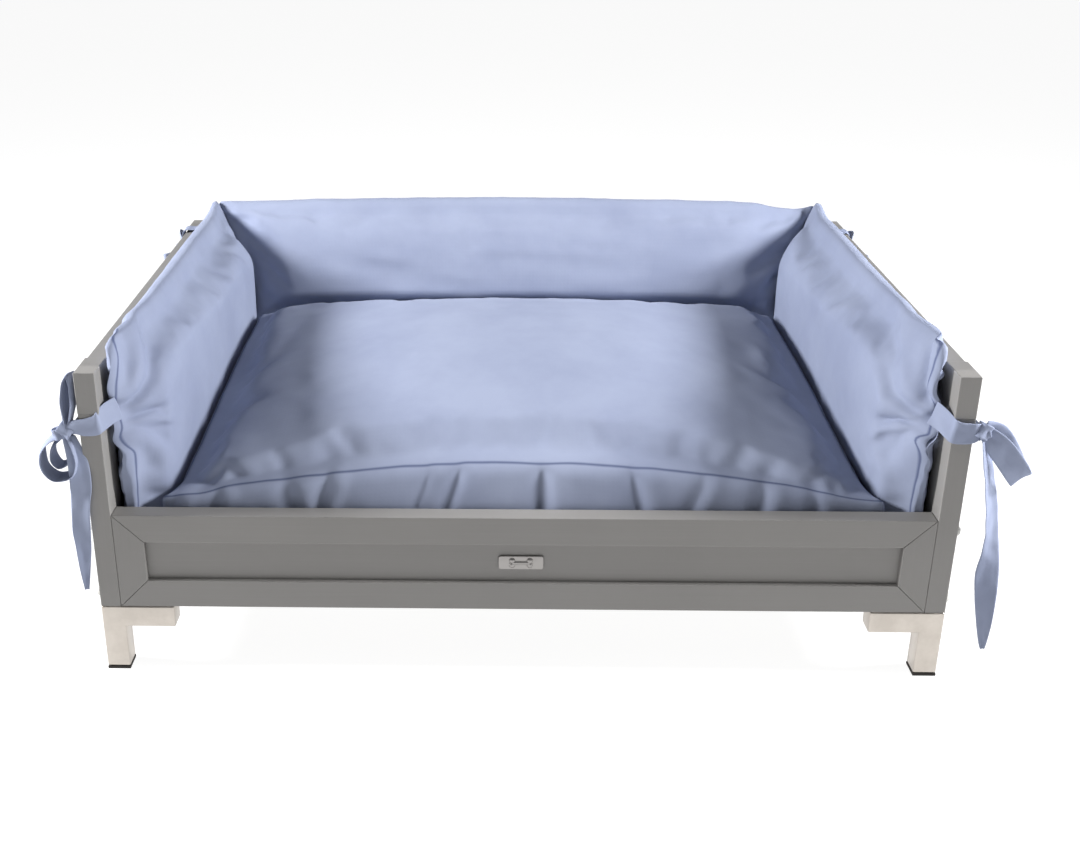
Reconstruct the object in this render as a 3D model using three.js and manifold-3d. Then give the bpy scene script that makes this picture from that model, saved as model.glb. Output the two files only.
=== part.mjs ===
// Raised dog bed: a frame-and-panel box of grey composite board on four square-tube legs, holding a thick
// mattress and three upright bolsters tied to the corner posts. Millimetres, +Z up, front towards -Y,
// origin on the floor under the middle of the frame.
import * as THREE from "three";
import { mergeVertices } from "three/addons/utils/BufferGeometryUtils.js";
import Module from "manifold-3d";

const wasm = await Module();
wasm.setup();

// ---- driving dimensions ----
const WIDTH = 915; // over the outer faces of the posts, X
const DEPTH = 617; // over the corner blocks, Y
const FRAME_BOTTOM = 80; // underside of the frame, which is the leg height
const FRONT_TOP = 190.4; // top edge of the low front panel
const SIDE_TOP = 351.6; // top edge of the sides and of the back
const POST_THICK = 22; // posts, blocks and front panel boards
const RAIL_THICK = 20; // rails between the posts, set back 2 mm from the post faces
const POST_WIDTH = 46;
const BLOCK_HEIGHT = 45; // corner block on top of each post, and the height of the side rails
const BORDER = 32; // width of the mitred border round the front and back infill panels
const RECESS = 6; // how far an infill panel lies behind the face of its frame
const INFILL_THICK = 8;
const TONGUE = 5; // how far an infill panel reaches into its grooves
const ARRIS = 0.8; // eased edges
const GAP = 0.3; // joint line between two boards
const TIE_SLOT = { wide: 24, high: 44 }; // notch beside each post that a tie passes through

const LEG_TUBE = 25; // square tube
const LEG_BAR = 80; // length of the flat arm along the frame's underside
const LEG_WALL = 1.5;
const FOOT_THICK = 4;

const BOLT = { head: 7.5, dome: 6, shank: 3, length: 44, y: 297 };
const FRONT_BOLTS_Z = [94.5, 175];
const REAR_BOLTS_Z = [94.5, 240];

const PLATFORM_TOP = 120;
const PLATFORM_THICK = 9;
const CLEAT = { deep: 18, high: 25 };

const BOLSTER_TOP = 388; // ends of the three bolsters
const OUTER_DROP = 32; // their outer seam lies this much below the inner one
const BACK_CROWN = 10; // the back bolster is this much higher at its middle
const BOLSTER_OUT = 430.5; // outer faces of the side bolsters, just inside the rails
const BACK_FRONT = 208; // front face of the back bolster
const BACK_REAR = 285.5;
const SIDE_FRONT = -285; // front ends of the side bolsters, against the front panel
const SOFT_BOTTOM = PLATFORM_TOP + 0.8;

const STRAP = { wide: 22, thick: 3, z: 291, clear: 0.5 }; // fabric tie round a post
const TAIL_END = { front_left: 98, front_right: 30, rear_left: 70, rear_right: 90 };

// ---- derived places ----
const HALF_W = WIDTH / 2;
const HALF_D = DEPTH / 2;
const POST_IN = HALF_W - POST_THICK; // inner faces of the posts
const POST_REAR = HALF_D - POST_WIDTH; // faces of the posts towards the middle of the side
const BLOCK_BOTTOM = SIDE_TOP - BLOCK_HEIGHT;
const PANEL_FACE = HALF_D - 0.5; // front and back panels, flush with the posts
const PANEL_IN = PANEL_FACE - POST_THICK;
const PLATFORM_BOTTOM = PLATFORM_TOP - PLATFORM_THICK;

// ---- finishes ----
const finish = (color, roughness, metalness = 0) => ({ color, roughness, metalness });
const COMPOSITE = finish(0x7b7977, 0.55);
const BASE_BOARD = finish(0x8a8781, 0.7);
const STEEL = finish(0xd3cdc6, 0.35, 0.9);
const RUBBER = finish(0x2e2926, 0.85);
const CAP = finish(0xc9c8c4, 0.45);
const BADGE = finish(0xb2b1ae, 0.35, 0.6);
const COTTON = finish(0xaebad6, 0.9);
const FOAM = finish(0xe9e2c8, 0.95);

// ---- tools ----
function solid(geometry) {
  const bare = geometry.clone().deleteAttribute("normal").deleteAttribute("uv");
  const merged = mergeVertices(bare, 1e-3);
  return new wasm.Manifold(
    new wasm.Mesh({
      numProp: 3,
      vertProperties: merged.attributes.position.array,
      triVerts: new Uint32Array(merged.index.array),
    }),
  );
}

function geometryOf(body) {
  const mesh = body.getMesh();
  const geometry = new THREE.BufferGeometry();
  geometry.setAttribute("position", new THREE.BufferAttribute(mesh.vertProperties, 3));
  geometry.setIndex(new THREE.BufferAttribute(mesh.triVerts, 1));
  return geometry;
}

function cut(geometry, ...tools) {
  return geometryOf(tools.reduce((body, tool) => body.subtract(solid(tool)), solid(geometry)));
}

function join(...pieces) {
  return geometryOf(pieces.slice(1).reduce((body, piece) => body.add(solid(piece)), solid(pieces[0])));
}

function piece(parent, name, geometry, look) {
  const mesh = new THREE.Mesh(geometry, new THREE.MeshStandardMaterial(look));
  mesh.name = name;
  parent.add(mesh);
  return mesh;
}

// A plain block between two corners.
function block(from, to) {
  const size = to.map((value, i) => value - from[i]);
  const middle = to.map((value, i) => (value + from[i]) / 2);
  return new THREE.BoxGeometry(...size).translate(...middle);
}

// A board with its outline in the XY plane, its back on z = 0, its face on z = thickness, and eased edges.
function board(outline, thickness, ease = ARRIS) {
  const shape = new THREE.Shape(outline.map(([x, y]) => new THREE.Vector2(x, y)));
  return new THREE.ExtrudeGeometry(shape, {
    depth: thickness - 2 * ease,
    bevelThickness: ease,
    bevelSize: ease,
    bevelOffset: -ease,
    bevelSegments: 2,
  }).translate(0, 0, ease);
}

const rectangle = (x0, x1, y0, y1) => [[x0, y0], [x1, y0], [x1, y1], [x0, y1]];

function rod(radius, length, sides = 16) {
  return new THREE.CylinderGeometry(radius, radius, length, sides).rotateZ(Math.PI / 2);
}

// ---- front and back panels: mitred border with an infill panel in its groove ----
// Drawn flat, face towards +z: x along the panel, y upwards, back of the boards on z = 0.
function framedPanel(name, top, boltHeights) {
  const group = new THREE.Group();
  const x1 = POST_IN - GAP;
  const x0 = x1 - BORDER;
  const y0 = FRAME_BOTTOM;
  const y1 = top;
  const half = GAP / 2;
  const infillBack = POST_THICK - RECESS - INFILL_THICK;
  const slack = 0.2;
  const groove = block(
    [-x0 - TONGUE - 1, y0 + BORDER - TONGUE - 1, infillBack - slack],
    [x0 + TONGUE + 1, y1 - BORDER + TONGUE + 1, infillBack + INFILL_THICK + slack],
  );
  const holes = boltHeights.flatMap((height) =>
    [-1, 1].map((side) =>
      rod(BOLT.shank + 0.4, 2 * BORDER).translate(side * x1, height, BOLT.y - PANEL_IN),
    ),
  );
  const rail = (edge, inward) => [
    [-x1 + half, edge],
    [x1 - half, edge],
    [x0 - half, edge + inward * BORDER],
    [-x0 + half, edge + inward * BORDER],
  ];
  const stile = (side) => [
    [side * x1, y0 + half],
    [side * x1, y1 - half],
    [side * x0, y1 - BORDER - half],
    [side * x0, y0 + BORDER + half],
  ];
  const member = (suffix, outline) =>
    piece(group, name + suffix, cut(board(outline, POST_THICK), groove, ...holes), COMPOSITE);
  member("_bottom_rail", rail(y0, 1));
  member("_top_rail", rail(y1, -1).reverse());
  member("_left_stile", stile(-1).reverse());
  member("_right_stile", stile(1));
  const reachX = x0 + TONGUE;
  const infill = rectangle(-reachX, reachX, y0 + BORDER - TONGUE, y1 - BORDER + TONGUE);
  piece(group, name + "_infill_panel", board(infill, INFILL_THICK, 0.4), COMPOSITE).position.z = infillBack;
  return group;
}

// ---- one side, drawn for the right-hand side: x along +Y, y upwards, z outwards from the posts' face ----
function sidePanel(side) {
  const group = new THREE.Group();
  const end = POST_REAR - GAP;
  const infillBack = POST_THICK - RECESS - INFILL_THICK;
  const slack = 0.2;
  const grooveBlock = (x0, x1, y0, y1) =>
    block([x0, y0, infillBack - slack], [x1, y1, infillBack + INFILL_THICK + slack]);
  const railTop = FRAME_BOTTOM + BLOCK_HEIGHT;
  const slotBottom = BLOCK_BOTTOM - TIE_SLOT.high;
  const tongueBottom = railTop - TONGUE;
  const tongueTop = BLOCK_BOTTOM + TONGUE;
  const topGroove = grooveBlock(-end - 1, end + 1, BLOCK_BOTTOM - 1, tongueTop + 1);
  const bottomGroove = grooveBlock(-end - 1, end + 1, tongueBottom - 1, railTop + 1);

  const topRail = board(rectangle(-end, end, BLOCK_BOTTOM + 0.5, SIDE_TOP - 0.5), RAIL_THICK);
  piece(group, side + "_top_rail", cut(topRail, topGroove), COMPOSITE);
  const bottomRail = board(rectangle(-end, end, FRAME_BOTTOM, railTop), RAIL_THICK);
  piece(group, side + "_bottom_rail", cut(bottomRail, bottomGroove), COMPOSITE);

  const slotX = POST_REAR - TIE_SLOT.wide;
  const edgeX = POST_REAR + TONGUE;
  const infill = [
    [-edgeX, tongueBottom],
    [edgeX, tongueBottom],
    [edgeX, slotBottom],
    [slotX, slotBottom],
    [slotX, tongueTop],
    [-slotX, tongueTop],
    [-slotX, slotBottom],
    [-edgeX, slotBottom],
  ];
  piece(group, side + "_infill_panel", board(infill, INFILL_THICK, 0.4), COMPOSITE).position.z = infillBack;

  [["front", -1, FRONT_BOLTS_Z], ["rear", 1, REAR_BOLTS_Z]].forEach(([place, way, boltHeights]) => {
    const inner = way * POST_REAR;
    const outer = way * (HALF_D - 0.5);
    const [x0, x1] = [Math.min(inner, outer), Math.max(inner, outer)];
    const holes = boltHeights.map((height) =>
      rod(BOLT.shank + 0.6, 3 * POST_THICK).rotateY(Math.PI / 2).translate(way * BOLT.y, height, 0),
    );
    const postGroove = grooveBlock(
      Math.min(inner, inner + way * (TONGUE + 1)) - (way > 0 ? 1 : 0),
      Math.max(inner, inner + way * (TONGUE + 1)) + (way < 0 ? 1 : 0),
      tongueBottom - 1,
      slotBottom + 1,
    );
    const post = board(rectangle(x0, x1, FRAME_BOTTOM, BLOCK_BOTTOM - GAP), POST_THICK);
    piece(group, `${side}_${place}_post`, cut(post, postGroove, ...holes), COMPOSITE);
    const [b0, b1] = [Math.min(inner, way * HALF_D), Math.max(inner, way * HALF_D)];
    const cornerBlock = board(rectangle(b0, b1, BLOCK_BOTTOM, SIDE_TOP), POST_THICK);
    piece(group, `${side}_${place}_corner_block`, cornerBlock, COMPOSITE);
  });
  return group;
}

// ---- legs, feet and bolts, drawn for the corner at +X, +Y ----
function legShape() {
  const top = FRAME_BOTTOM - GAP;
  const x0 = HALF_W - LEG_TUBE;
  const y0 = HALF_D - LEG_TUBE;
  const wall = LEG_WALL;
  const upright = block([x0, y0, FOOT_THICK], [HALF_W, HALF_D, top]);
  const arm = block([HALF_W - LEG_BAR, y0, top - LEG_TUBE], [HALF_W, HALF_D, top]);
  const insideUpright = block(
    [x0 + wall, y0 + wall, FOOT_THICK - 1],
    [HALF_W - wall, HALF_D - wall, top - wall],
  );
  const insideArm = block(
    [HALF_W - LEG_BAR + wall, y0 + wall, top - LEG_TUBE + wall],
    [HALF_W - wall, HALF_D - wall, top - wall],
  );
  return cut(join(upright, arm), join(insideUpright, insideArm));
}

function footShape() {
  const x = HALF_W - LEG_TUBE / 2;
  const y = HALF_D - LEG_TUBE / 2;
  const half = LEG_TUBE / 2;
  const plug = half - LEG_WALL - GAP;
  const pad = board(rectangle(-half, half, -half, half), FOOT_THICK - GAP, 0.6);
  const stem = block([-plug, -plug, 1], [plug, plug, FOOT_THICK + 12]);
  return join(pad, stem).translate(x, y, 0);
}

function boltShape() {
  const { head, dome, shank, length } = BOLT;
  const steps = 4;
  const profile = [[0, -length], [shank, -length], [shank, GAP]].map(([r, z]) => new THREE.Vector2(r, z));
  for (let i = 0; i <= steps; i++) {
    const angle = (i / steps) * (Math.PI / 2);
    const radius = i === steps ? 0 : head * Math.cos(angle);
    profile.push(new THREE.Vector2(radius, GAP + dome * Math.sin(angle)));
  }
  return new THREE.LatheGeometry(profile, 14).rotateZ(-Math.PI / 2);
}

// ---- soft parts ----
// A cushion is a box of cells whose points are moved to where place(u, v, w) says, u, v and w from 0 to 1.
function cushion(cells, place) {
  const geometry = new THREE.BoxGeometry(1, 1, 1, ...cells).translate(0.5, 0.5, 0.5);
  const points = geometry.attributes.position;
  for (let i = 0; i < points.count; i++) {
    points.setXYZ(i, ...place(points.getX(i), points.getY(i), points.getZ(i)));
  }
  return geometry;
}

const mix = (a, b, t) => a + (b - a) * t;

// Half the width left free between the side bolsters at a depth y: it widens towards the front.
function seamX(y) {
  const flare = Math.max(0, (-230 - y) / 60);
  return 356 + 0.047 * (260 - y) + 16 * flare * flare;
}

// Share of a bolster's full thickness at a height t from its bottom, 0, to its top seam, 1.
function bulge(t) {
  if (t < 0.25) return mix(0.8, 1, t / 0.25);
  return t < 0.45 ? 1 : mix(1, 0.24, ((t - 0.45) / 0.55) ** 1.8);
}

function sideBolster() {
  const slope = (BACK_REAR - BACK_FRONT) / (BOLSTER_OUT - 358);
  return cushion([3, 10, 8], (u, v, w) => {
    const rough = mix(SIDE_FRONT, BACK_FRONT, v);
    const inner = BOLSTER_OUT - (BOLSTER_OUT - seamX(rough)) * bulge(w);
    const x = mix(inner, BOLSTER_OUT, u);
    const rear = BACK_FRONT + slope * (x - 358) - 1.5;
    return [x, mix(SIDE_FRONT, rear, v), mix(SOFT_BOTTOM, BOLSTER_TOP - OUTER_DROP * u, w)];
  });
}

function backBolster() {
  const slope = (BACK_REAR - BACK_FRONT) / (BOLSTER_OUT - 358);
  return cushion([14, 3, 8], (u, v, w) => {
    const front = BACK_REAR - (BACK_REAR - BACK_FRONT) * bulge(w);
    const y = mix(front, BACK_REAR, v);
    const half = Math.min(BOLSTER_OUT, 358 + (y - BACK_FRONT) / slope) - 1.5;
    const crown = BACK_CROWN * (1 - (2 * u - 1) ** 2);
    return [mix(-half, half, u), y, mix(SOFT_BOTTOM, BOLSTER_TOP + crown - OUTER_DROP * v, w)];
  });
}

const MATTRESS = { front: -284.5, rear: 205, lean: 14 };
const EDGE_TOP = { front: 198, rise: 47 }; // height of the mattress top along the side bolsters
const MIDDLE_TOP = { front: 231, rise: 58, fall: 14, at: 0.65 }; // and along its middle, highest at 0.65
const COVER = 2.5; // cover and its quilting
const WADDING = 14; // fibre wrap between the foam and the cover

const edgeTop = (v) => EDGE_TOP.front + EDGE_TOP.rise * Math.sin((v * Math.PI) / 2) ** 1.5;

function middleTop(v) {
  const { front, rise, fall, at } = MIDDLE_TOP;
  const past = Math.max(0, (v - at) / (1 - at));
  return front + rise * Math.sin((Math.min(1, v / at) * Math.PI) / 2) ** 0.8 - fall * past * past;
}

// The box cushion's outer form, whose front leans back above the rail, or the same form drawn in by inset.
function mattressForm(inset, bottomInset = inset) {
  const { front, rear, lean } = MATTRESS;
  return cushion([12, 8, 3], (u, v, w) => {
    const across = 1 - Math.abs(2 * u - 1) ** 2.5;
    const top = mix(edgeTop(v), middleTop(v), across) - inset;
    const back = lean * across * Math.max(0, 3 * w - 2);
    const y = mix(front + back + inset, rear - inset, v);
    const x = (2 * u - 1) * (seamX(y) - 4 - inset);
    return [x, y, mix(SOFT_BOTTOM + bottomInset, top, w)];
  });
}

function mattressCover() {
  const zip = block([-260, MATTRESS.rear - 10, 160], [260, MATTRESS.rear + 10, 165]);
  return cut(mattressForm(0), mattressForm(COVER), zip);
}

// Outlines of a tie's flat loops and tail, in millimetres from its knot: across, then up.
const FRONT_LOOP = [[-4, -6], [22, -52], [36, -66], [46, -48], [32, -24], [4, 6]];
const REAR_LOOP = [[0, -6], [44, -16], [62, 2], [48, 18], [0, 6]];

function tail(length) {
  return [[-6, 0], [-4, -0.7 * length], [8, -length], [18, -0.65 * length], [4, 0]];
}

const ribbon = (outline) => board(outline, STRAP.thick, 0.4).translate(0, 0, -STRAP.thick / 2);
const knotBall = () => new THREE.SphereGeometry(11, 10, 7);

// Drawn for the corner at +X, +Y: a band round the post, with its knot and bow at the post's outer edge.
function frontTie(tailEnd) {
  const { wide, thick, z, clear } = STRAP;
  const x0 = POST_IN - clear;
  const x1 = HALF_W + clear;
  const y0 = POST_REAR - clear;
  const y1 = HALF_D + clear;
  const band = cut(
    block([x0 - thick, y0 - thick, z - wide / 2], [x1 + thick, y1 + thick, z + wide / 2]),
    block([x0, y0, z - wide], [x1, y1, z + wide]),
  );
  const bow = join(knotBall(), ribbon(FRONT_LOOP), ribbon(tail(z - tailEnd))).rotateX(Math.PI / 2);
  return join(band, bow.translate(HALF_W + 12, y1 + thick - 11, z));
}

// Drawn for the corner at +X, +Y: a band through the slot and over the top rail, its bow flat on the outside.
function rearTie(tailEnd) {
  const { wide, thick, clear } = STRAP;
  const y = POST_REAR - 12;
  const z = SIDE_TOP - 26;
  const x1 = HALF_W + clear;
  const x0 = POST_IN - clear;
  const band = cut(
    block([x0 - thick, y - wide / 2, BLOCK_BOTTOM - thick], [x1 + thick, y + wide / 2, SIDE_TOP + thick]),
    block([x0, y - wide, BLOCK_BOTTOM], [x1, y + wide, SIDE_TOP]),
  );
  const mirrored = REAR_LOOP.map(([across, up]) => [-across, up]).reverse();
  const bow = join(knotBall(), ribbon(REAR_LOOP), ribbon(mirrored), ribbon(tail(z - tailEnd)));
  return join(band, bow.rotateX(Math.PI / 2).rotateZ(Math.PI / 2).translate(x1 + 11, y, z));
}

// ---- the bed ----
const bed = new THREE.Group();

const frontPanel = framedPanel("front", FRONT_TOP, FRONT_BOLTS_Z);
frontPanel.rotation.x = Math.PI / 2;
frontPanel.position.y = -PANEL_IN;
bed.add(frontPanel);
const badge = board(rectangle(-24, 24, -8, 8), 2, 0.5);
piece(frontPanel, "front_badge_plate", badge, BADGE)
  .position.set(0, (FRAME_BOTTOM + FRONT_TOP) / 2, POST_THICK - RECESS + GAP);

const backPanel = framedPanel("back", SIDE_TOP, REAR_BOLTS_Z);
backPanel.rotation.x = Math.PI / 2;
backPanel.position.y = -PANEL_IN;
const rear = new THREE.Group();
rear.scale.y = -1;
rear.add(backPanel);
bed.add(rear);

[["left", -1], ["right", 1]].forEach(([side, way]) => {
  const half = new THREE.Group();
  half.scale.x = way;
  bed.add(half);
  const panel = sidePanel(side);
  const outwards = new THREE.Matrix4().makeBasis(
    new THREE.Vector3(0, 1, 0),
    new THREE.Vector3(0, 0, 1),
    new THREE.Vector3(1, 0, 0),
  );
  panel.quaternion.setFromRotationMatrix(outwards);
  panel.position.x = POST_IN;
  half.add(panel);

  piece(half, side + "_bolster", sideBolster(), COTTON);
  const cleat = block(
    [POST_IN - GAP - CLEAT.deep, -PANEL_IN + 1, PLATFORM_BOTTOM - CLEAT.high],
    [POST_IN - GAP, PANEL_IN - 1, PLATFORM_BOTTOM],
  );
  piece(half, side + "_cleat", cleat, BASE_BOARD);
  const boardFrom = [0.5, -PANEL_IN + 1, PLATFORM_BOTTOM + GAP];
  const boardTo = [POST_IN - 1.5, PANEL_IN - 1, PLATFORM_TOP];
  piece(half, side + "_platform_board", block(boardFrom, boardTo), BASE_BOARD);

  [["front", -1, FRONT_BOLTS_Z, frontTie], ["rear", 1, REAR_BOLTS_Z, rearTie]].forEach((kind) => {
    const [place, end, boltHeights, tieShape] = kind;
    const corner = new THREE.Group();
    corner.scale.y = end;
    half.add(corner);
    const name = `${place}_${side}`;
    piece(corner, name + "_leg", legShape(), STEEL);
    piece(corner, name + "_foot_plug", footShape(), RUBBER);
    piece(corner, name + "_tie", tieShape(TAIL_END[name]), COTTON);
    boltHeights.forEach((height, i) => {
      piece(corner, `${name}_${["lower", "upper"][i]}_bolt`, boltShape(), CAP)
        .position.set(HALF_W, BOLT.y, height);
    });
  });
});

[["front", -1], ["rear", 1]].forEach(([place, way]) => {
  const reach = POST_IN - CLEAT.deep - 1.5;
  const inner = way * (PANEL_IN - GAP);
  const outer = inner - way * CLEAT.deep;
  const cleat = block(
    [-reach, Math.min(inner, outer), PLATFORM_BOTTOM - CLEAT.high],
    [reach, Math.max(inner, outer), PLATFORM_BOTTOM],
  );
  piece(bed, place + "_cleat", cleat, BASE_BOARD);
});
const beamReach = PANEL_IN - CLEAT.deep - 1;
piece(
  bed,
  "centre_support_beam",
  block([-9, -beamReach, PLATFORM_BOTTOM - CLEAT.high], [9, beamReach, PLATFORM_BOTTOM]),
  BASE_BOARD,
);

piece(bed, "back_bolster", backBolster(), COTTON);
piece(bed, "mattress_cover", mattressCover(), COTTON);
piece(bed, "mattress_core", mattressForm(COVER + WADDING, COVER + 1.5), FOAM);

export default bed;
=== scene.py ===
import bmesh, bpy, math
from mathutils import Matrix, Vector, noise


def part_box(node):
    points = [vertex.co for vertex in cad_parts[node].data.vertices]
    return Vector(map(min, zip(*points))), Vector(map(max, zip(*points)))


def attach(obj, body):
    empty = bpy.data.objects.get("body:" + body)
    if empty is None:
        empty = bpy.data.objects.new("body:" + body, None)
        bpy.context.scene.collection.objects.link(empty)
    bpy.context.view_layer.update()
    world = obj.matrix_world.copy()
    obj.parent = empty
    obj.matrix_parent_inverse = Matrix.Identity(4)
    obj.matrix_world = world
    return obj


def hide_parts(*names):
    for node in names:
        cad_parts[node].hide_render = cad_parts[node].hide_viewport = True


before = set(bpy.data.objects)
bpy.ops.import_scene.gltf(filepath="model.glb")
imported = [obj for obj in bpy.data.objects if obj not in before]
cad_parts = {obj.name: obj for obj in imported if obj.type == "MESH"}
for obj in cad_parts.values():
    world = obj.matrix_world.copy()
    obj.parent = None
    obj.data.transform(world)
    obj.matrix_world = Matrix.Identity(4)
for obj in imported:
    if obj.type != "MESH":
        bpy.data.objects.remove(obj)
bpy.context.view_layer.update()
MM = 0.001

# ---- camera, floor and studio light ----
# A standing viewer a little left of the middle looks down at the bed. A soft box stands on each side, so that
# each side bolster shades the corner beside it, and a pale floor and room fill the rest.
camera = bpy.data.objects.new("camera", bpy.data.cameras.new("camera"))
bpy.context.scene.collection.objects.link(camera)
bpy.context.scene.camera = camera
camera.data.lens = 45.107
camera.data.shift_x = 0.0774
YAW, PITCH, ROLL = (math.radians(angle) for angle in (-1.348, 23.307, -0.218))
camera.matrix_world = (
    Matrix.Translation(Vector((-38.6, -1581.4, 837.9)) * MM)
    @ Matrix.Rotation(-YAW, 4, "Z")
    @ Matrix.Rotation(math.pi / 2 - PITCH, 4, "X")
    @ Matrix.Rotation(ROLL, 4, "Z")
)
bpy.context.scene.view_settings.view_transform = "Standard"


def linear(code):
    """An sRGB hex colour as linear RGBA."""
    parts = (int(code[i:i + 2], 16) / 255 for i in (1, 3, 5))
    return (*(c / 12.92 if c <= 0.04045 else ((c + 0.055) / 1.055) ** 2.4 for c in parts), 1)


BED_MIDDLE = (0, 0, 0.2)


def soft_box(name, place, width, power):
    """A round white lamp, width in metres and power in watts, aimed at the bed."""
    lamp = bpy.data.lights.new(name, "AREA")
    lamp.shape, lamp.size, lamp.energy = "DISK", width, power
    box = bpy.data.objects.new(name, lamp)
    bpy.context.scene.collection.objects.link(box)
    box.location = place
    box.rotation_euler = (Vector(BED_MIDDLE) - Vector(place)).to_track_quat("-Z", "Y").to_euler()


soft_box("left_soft_box", (-1.9, -0.27, 1.14), 0.45, 80)
soft_box("right_soft_box", (1.9, -0.27, 1.14), 0.45, 80)
soft_box("overhead_fill", (0, -1.2, 2.6), 1.6, 8)

room = bpy.data.worlds.new("room")
bpy.context.scene.world = room
room.use_nodes = True


def node(tree, kind, inputs=None, **settings):
    """Adds a shader node. An input takes a value, or another node's output socket to link from."""
    made = tree.nodes.new("ShaderNode" + kind)
    for name, value in settings.items():
        setattr(made, name, value)
    for name, value in (inputs or {}).items():
        if isinstance(value, bpy.types.NodeSocket):
            tree.links.new(value, made.inputs[name])
        else:
            made.inputs[name].default_value = value
    return made


sky = room.node_tree   # white at the horizon, dim overhead
height = node(sky, "SeparateXYZ", {"Vector": node(sky, "TexCoord").outputs["Generated"]}).outputs["Z"]
glow = node(sky, "MapRange", {
    "Value": height, "From Min": 0.02, "From Max": 0.12, "To Min": 0.97, "To Max": 0.08})
sky.links.new(glow.outputs["Result"], sky.nodes["Background"].inputs["Strength"])
sky.nodes["Background"].inputs["Color"].default_value = (1, 1, 1, 1)


def new_material(name):
    """An empty material and its tree, with the surface socket of its output."""
    material = bpy.data.materials.new(name)
    material.use_nodes = True
    tree = material.node_tree
    tree.nodes.clear()
    return material, tree, node(tree, "OutputMaterial").inputs["Surface"]


def finished(name, mesh, material, body=None):
    """A bmesh becomes a named piece with its material, riding on a CAD body."""
    data = bpy.data.meshes.new(name)
    mesh.to_mesh(data)
    mesh.free()
    data.materials.append(material)
    data.shade_smooth()
    piece = bpy.data.objects.new(name, data)
    bpy.context.scene.collection.objects.link(piece)
    if body:
        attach(piece, body)
    return piece


floor_paint, tree, surface = new_material("pale_floor_paint")
tree.links.new(node(tree, "BsdfPrincipled", {
    "Base Color": linear("#7c7c7c"), "Roughness": 0.9,
    "Emission Color": linear("#ffffff"), "Emission Strength": 0.92}).outputs["BSDF"], surface)
mesh = bmesh.new()
bmesh.ops.create_grid(mesh, size=60)   # metres, so that its far edge stays out of sight
floor = finished("floor", mesh, floor_paint)

# ---- frame boards: posts, blocks, rails, stiles and infill panels ----
# Wood-plastic composite boards, planed flat and through-coloured satin grey, mitred and grooved together. The
# face has a faint brushed-out grain along each board, fine pores and a painted highlight on each arris.
BOARD_GREYS, BASE_GREYS, ARRIS_HIGHLIGHT = ("#83817f", "#8a8886"), ("#7d7a75", "#8f8b85"), "#a6a4a1"
GRAIN_MM = (140, 1.6)   # length and spacing of the grain streaks
MOTTLE_MM = 111         # cloudiness of the pressed board
PORE_MM = 1.4           # coarser than real, so that it shows
ARRIS_MM = 1.2          # radius of the eased edges


def per_metre(size_mm):
    """The texture scale that makes a pattern's cells this size."""
    return 1 / (size_mm * MM)


def board_finish(name, along, greys=BOARD_GREYS, roughness=(0.42, 0.56)):
    """Satin composite whose grain runs along X, Y or Z. Its arrises look rounded and get a painted highlight.
    """
    material, tree, surface = new_material(name)
    place = node(tree, "TexCoord").outputs["Object"]
    scale = [per_metre(GRAIN_MM[0 if axis == along else 1]) for axis in "XYZ"]
    streaks = node(tree, "TexNoise", {
        "Vector": node(tree, "Mapping", {"Vector": place, "Scale": scale}).outputs["Vector"],
        "Scale": 1.0, "Detail": 3.0, "Roughness": 0.6})
    clouds = node(tree, "TexNoise", {
        "Vector": place, "Scale": per_metre(MOTTLE_MM), "Detail": 4.0, "Roughness": 0.55})
    tone = node(tree, "MixRGB", {
        "Fac": 0.7, "Color1": streaks.outputs["Fac"], "Color2": clouds.outputs["Fac"]})
    colour = node(tree, "ValToRGB", {"Fac": tone.outputs["Color"]})
    for stop, position, grey in zip(colour.color_ramp.elements, (0.3, 0.7), greys):
        stop.position, stop.color = position, linear(grey)
    sheen = node(tree, "MapRange", {
        "Value": clouds.outputs["Fac"], "From Min": 0.3, "From Max": 0.7,
        "To Min": roughness[0], "To Max": roughness[1]})
    pores = node(tree, "TexNoise", {"Vector": place, "Scale": per_metre(PORE_MM), "Detail": 2.0})
    eased = node(tree, "Bevel", {"Radius": ARRIS_MM * MM}, samples=4).outputs["Normal"]
    turned = node(tree, "VectorMath", {0: eased, 1: node(tree, "NewGeometry").outputs["True Normal"]},
                  operation="DOT_PRODUCT").outputs["Value"]
    # painted highlight: the colour is lightened along the eased arrises, where the bevelled normal turns
    edge = node(tree, "MapRange", {"Value": turned, "From Min": 0.995, "From Max": 0.9, "To Max": 0.45})
    highlighted = node(tree, "Mix", {"Factor": edge.outputs["Result"], "A": colour.outputs["Color"],
                              "B": linear(ARRIS_HIGHLIGHT)}, data_type="RGBA")
    grain = node(tree, "Bump", {"Height": streaks.outputs["Fac"], "Strength": 0.05, "Distance": 0.3 * MM,
                                "Normal": eased})
    bump = node(tree, "Bump", {
        "Height": pores.outputs["Fac"], "Strength": 0.16, "Distance": 0.3 * MM,
        "Normal": grain.outputs["Normal"]})
    tree.links.new(node(tree, "BsdfPrincipled", {
        "Base Color": highlighted.outputs["Result"], "Roughness": sheen.outputs["Result"],
        "Normal": bump.outputs["Normal"], "IOR": 1.46}).outputs["BSDF"], surface)
    return material


boards = {axis: board_finish("satin_composite_along_" + axis.lower(), axis) for axis in "XYZ"}
base_boards = board_finish("raw_composite_base", "X", BASE_GREYS, (0.6, 0.75))


def paint(name, material):
    """Gives a CAD node that is kept its material."""
    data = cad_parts[name].data
    data.materials.clear()
    data.materials.append(material)


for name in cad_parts:
    if name.endswith(("_post", "_stile", "_corner_block")):
        paint(name, boards["Z"])
    elif name.endswith(("_rail", "_infill_panel")):
        paint(name, boards["Y" if name.startswith(("left", "right")) else "X"])
    elif name.endswith(("_cleat", "_beam", "_platform_board")):
        paint(name, base_boards)

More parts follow.
